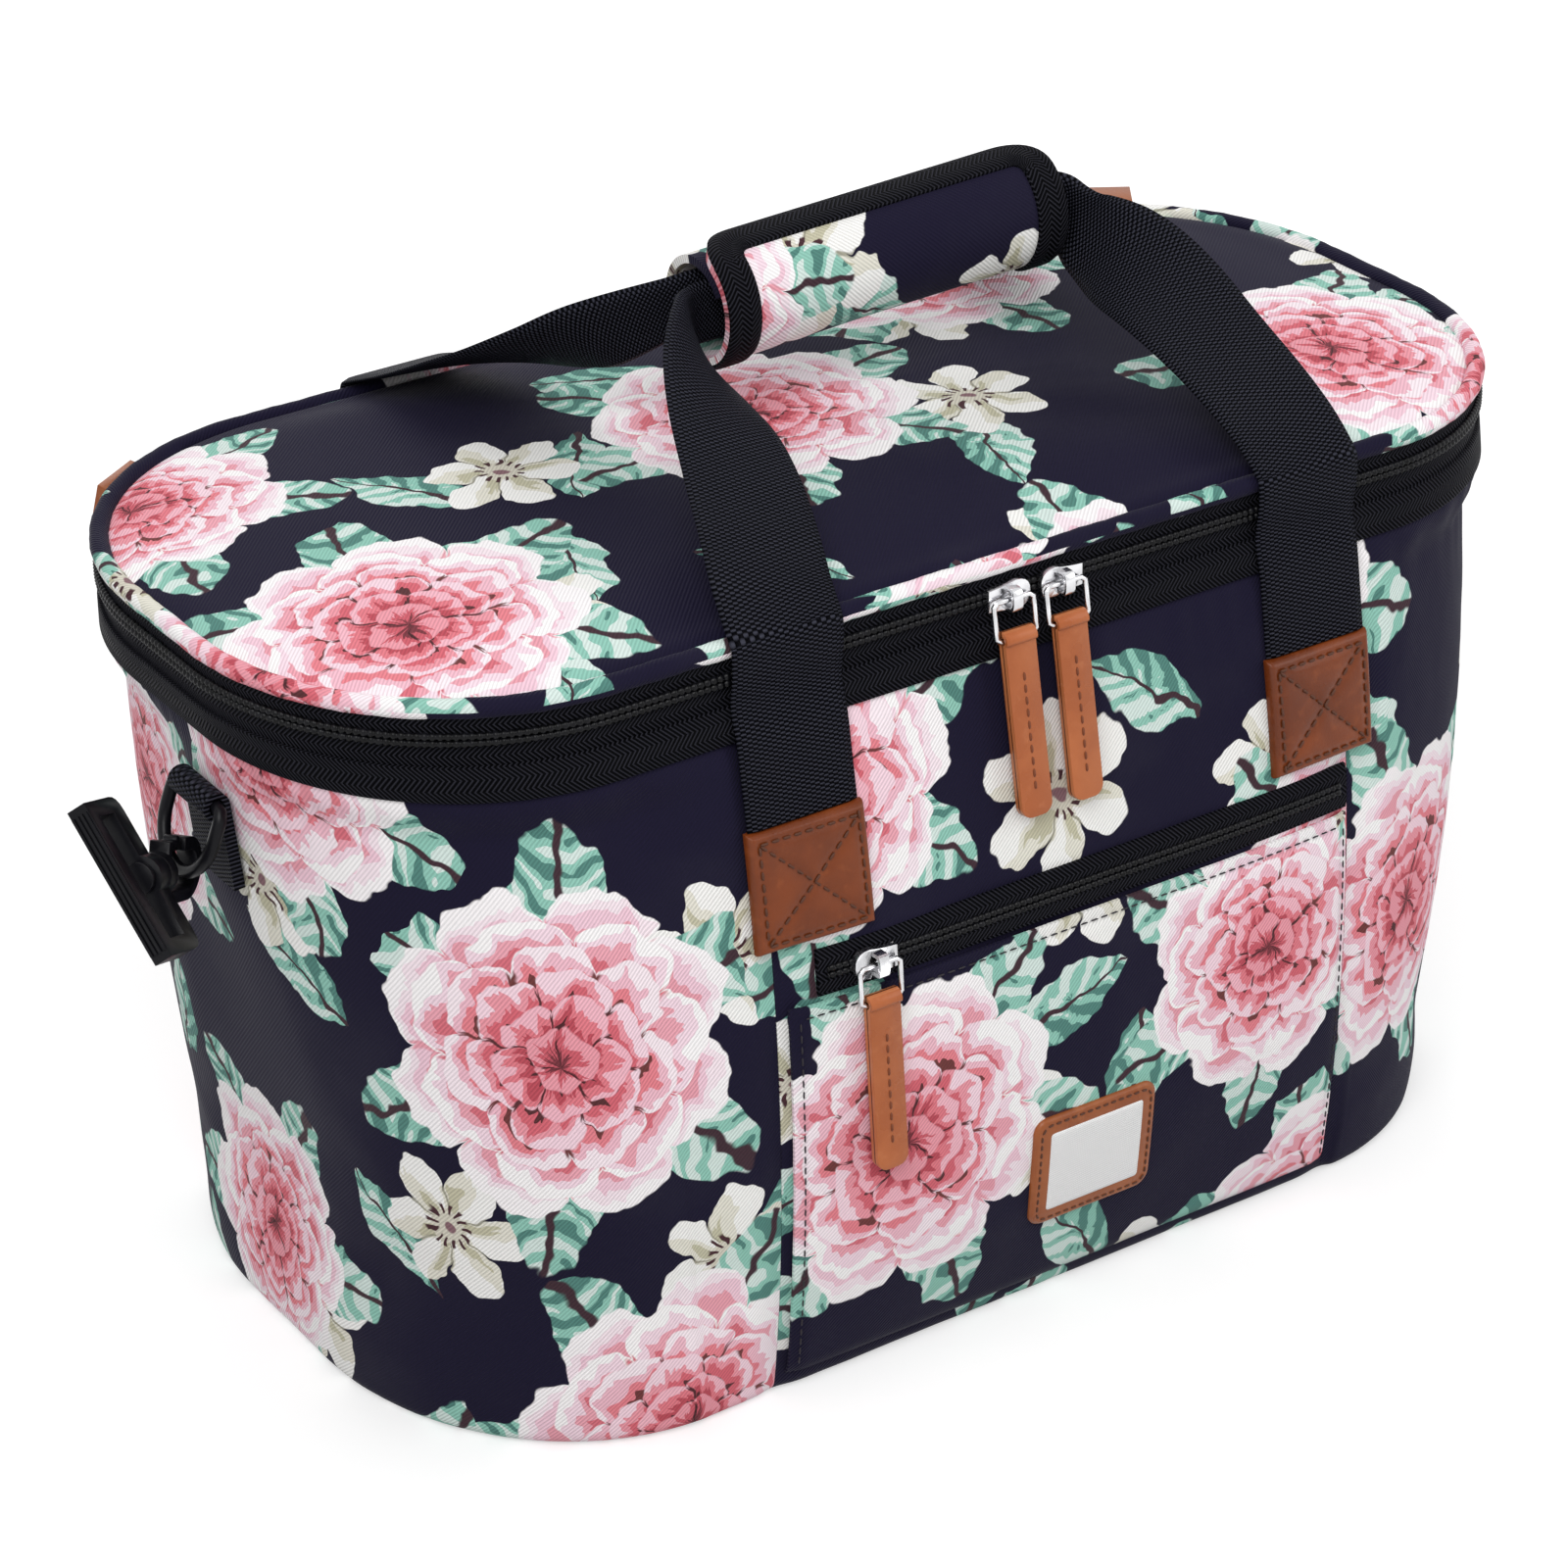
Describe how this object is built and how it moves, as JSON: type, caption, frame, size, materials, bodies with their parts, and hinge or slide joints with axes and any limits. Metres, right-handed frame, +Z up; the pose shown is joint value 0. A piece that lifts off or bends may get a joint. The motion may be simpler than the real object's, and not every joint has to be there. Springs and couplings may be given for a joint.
{
  "type": "insulated cooler tote bag",
  "caption": "Soft insulated tote with a zipped hinged lid, two webbing handles joined by a wrapped grip, a zipped front pocket and side rings with swivel snap hooks.",
  "frame": {"origin": "Centre of the flat base, on the ground.", "axes": "+X along the bag to its right end, +Y to the back where the lid hinges, +Z up."},
  "size_m": [0.5336, 0.2695, 0.3335],
  "materials": {
    "printed_cloth": "printed twill",
    "black_webbing": "ribbed weave",
    "insulating_foam": "closed-cell foam",
    "lining": "smooth coated lining",
    "base_board": "matte",
    "tan_leather": "smooth leather",
    "brown_leather": "smooth leather",
    "blank_woven_label": "woven satin",
    "bright_metal": "polished",
    "black_plastic": "satin moulded"
  },
  "bodies": {
    "bag": {"base_panel": "printed_cloth", "base_board": "base_board", "base_foam": "insulating_foam", "front_foam": "insulating_foam", "back_foam": "insulating_foam", "left_end_foam": "insulating_foam", "right_end_foam": "insulating_foam", "liner_tub": "lining", "front_panel": "printed_cloth", "back_panel": "printed_cloth", "left_end_panel": "printed_cloth", "right_end_panel": "printed_cloth", "trim_band": "black_webbing", "body_zip_tape": "black_webbing", "hinge_strip": "black_webbing", "pocket_panel": "printed_cloth", "pocket_zip_tape": "black_webbing", "label_patch": "brown_leather", "label_insert": "blank_woven_label", "strap_patch_front_left": "brown_leather", "strap_end_front_left": "black_webbing", "strap_patch_front_right": "brown_leather", "strap_end_front_right": "black_webbing", "strap_patch_back_left": "brown_leather", "strap_end_back_left": "black_webbing", "strap_patch_back_right": "brown_leather", "strap_end_back_right": "black_webbing", "side_tab_left": "black_webbing", "side_tab_right": "black_webbing"},
    "lid": {"lid_panel": "printed_cloth", "lid_piping": "printed_cloth", "lid_foam": "insulating_foam", "lid_liner": "lining", "lid_zip_tape": "black_webbing", "zip_end_tab_left": "tan_leather", "zip_end_tab_right": "tan_leather"},
    "back_handle": {"back_strap": "black_webbing", "grip_wrap": "printed_cloth", "grip_binding": "black_webbing"},
    "front_handle": {"front_strap": "black_webbing"},
    "left_slider": {"left_slider": "bright_metal"},
    "left_pull": {"left_ring": "bright_metal", "left_pull": "tan_leather"},
    "right_slider": {"right_slider": "bright_metal"},
    "right_pull": {"right_ring": "bright_metal", "right_pull": "tan_leather"},
    "pocket_slider": {"pocket_slider": "bright_metal"},
    "pocket_pull": {"pocket_ring": "bright_metal", "pocket_pull": "tan_leather"},
    "d_ring_left": {"d_ring_left": "black_plastic"},
    "hook_left": {"hook_left": "black_plastic"},
    "hook_gate_left": {"hook_gate_left": "black_plastic"},
    "hook_frame_left": {"hook_frame_left": "black_plastic"},
    "d_ring_right": {"d_ring_right": "black_plastic"},
    "hook_right": {"hook_right": "black_plastic"},
    "hook_gate_right": {"hook_gate_right": "black_plastic"},
    "hook_frame_right": {"hook_frame_right": "black_plastic"}
  },
  "joints": [
    {"name": "lid_hinge", "type": "hinge", "parent": "bag", "child": "lid", "pos_m": [0, 0.111, 0.246], "axis": [-1, 0, 0], "range_deg": [0, 100]},
    {"name": "back_handle_swing", "type": "hinge", "parent": "bag", "child": "back_handle", "pos_m": [0, 0.1226, 0.2], "axis": [-1, 0, 0], "range_deg": [0, 100], "deforming": ["back_strap"]},
    {"name": "front_handle_swing", "type": "hinge", "parent": "bag", "child": "front_handle", "pos_m": [0, -0.1226, 0.2], "axis": [1, 0, 0], "range_deg": [0, 130], "deforming": ["front_strap"]},
    {"name": "left_slider_slide", "type": "slide", "parent": "bag", "child": "left_slider", "axis": [-1, 0, 0], "range_m": [0, 0.044]},
    {"name": "left_pull_hinge", "type": "hinge", "parent": "left_slider", "child": "left_pull", "pos_m": [-0.006, -0.11605, 0.246], "axis": [-1, 0, 0], "range_deg": [0, 150]},
    {"name": "right_slider_slide", "type": "slide", "parent": "bag", "child": "right_slider", "axis": [1, 0, 0], "range_m": [0, 0.057]},
    {"name": "right_pull_hinge", "type": "hinge", "parent": "right_slider", "child": "right_pull", "pos_m": [0.013, -0.11605, 0.246], "axis": [-1, 0, 0], "range_deg": [0, 150]},
    {"name": "pocket_slider_slide", "type": "slide", "parent": "bag", "child": "pocket_slider", "axis": [1, 0, 0], "range_m": [0, 0.17]},
    {"name": "pocket_pull_hinge", "type": "hinge", "parent": "pocket_slider", "child": "pocket_pull", "pos_m": [-0.066, -0.13286, 0.1503], "axis": [-1, 0, 0], "range_deg": [0, 150]},
    {"name": "d_ring_left_hinge", "type": "hinge", "parent": "bag", "child": "d_ring_left", "pos_m": [-0.22694, -0.02, 0.20858], "axis": [0, 1, 0], "range_deg": [0, 60]},
    {"name": "hook_left_swing", "type": "hinge", "parent": "d_ring_left", "child": "hook_left", "pos_m": [-0.23574, -0.02, 0.18646], "axis": [0.6428, -0.766, 0], "range_deg": [0, 85]},
    {"name": "hook_gate_left_hinge", "type": "hinge", "parent": "hook_left", "child": "hook_gate_left", "pos_m": [-0.24098, -0.02439, 0.19731], "axis": [-0.6428, 0.766, 0], "range_deg": [0, 25], "stiffness_Nm_per_rad": 0.02},
    {"name": "hook_frame_left_swivel", "type": "hinge", "parent": "hook_left", "child": "hook_frame_left", "pos_m": [-0.24618, -0.02876, 0.19197], "axis": [-0.7103, -0.596, 0.3746], "continuous": true},
    {"name": "d_ring_right_hinge", "type": "hinge", "parent": "bag", "child": "d_ring_right", "pos_m": [0.22694, 0.02, 0.20858], "axis": [0, -1, 0], "range_deg": [0, 60]},
    {"name": "hook_right_swing", "type": "hinge", "parent": "d_ring_right", "child": "hook_right", "pos_m": [0.23574, 0.02, 0.18646], "axis": [0.342, -0.9397, 0], "range_deg": [0, 85]},
    {"name": "hook_gate_right_hinge", "type": "hinge", "parent": "hook_right", "child": "hook_gate_right", "pos_m": [0.24605, 0.02375, 0.17982], "axis": [0.342, -0.9397, 0], "range_deg": [0, 25], "stiffness_Nm_per_rad": 0.02},
    {"name": "hook_frame_right_swivel", "type": "hinge", "parent": "hook_right", "child": "hook_frame_right", "pos_m": [0.24114, 0.02196, 0.17293], "axis": [0.3672, 0.1336, -0.9205], "continuous": true}
  ],
  "couplings": [
    {"joint": "back_handle_swing", "follows": "lid_hinge", "ratio": 1},
    {"joint": "front_handle_swing", "follows": "lid_hinge", "ratio": 1.3}
  ]
}
